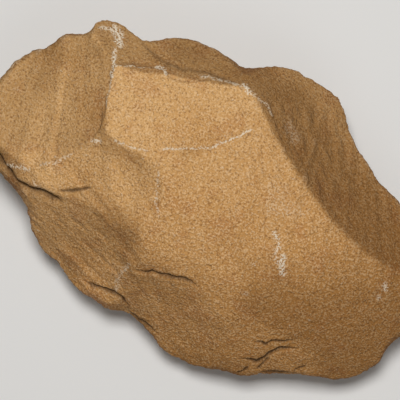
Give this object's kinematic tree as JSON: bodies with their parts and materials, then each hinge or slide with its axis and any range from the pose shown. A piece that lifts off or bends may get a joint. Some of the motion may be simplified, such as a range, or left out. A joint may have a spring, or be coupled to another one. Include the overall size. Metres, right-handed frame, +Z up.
{
  "type": "stone hand axe",
  "caption": "Knapped stone biface: a thick oval block with a lobed narrow end and a broad end, flake scars meeting in ridges on both faces, lying on its underside.",
  "frame": {"origin": "middle of the axe's length and width, on the level of the flat underside it lies on", "axes": "+X along the axe from its narrow lobed end to its broad end, +Y across it towards the side with the small nub, +Z up out of the face seen in the picture"},
  "size_m": [0.1738, 0.1136, 0.0506],
  "materials": {
    "stone": "fine-grained ochre-brown quartzite, matt, weathered"
  },
  "bodies": {
    "root": {"hand_axe": "stone"}
  },
  "joints": []
}
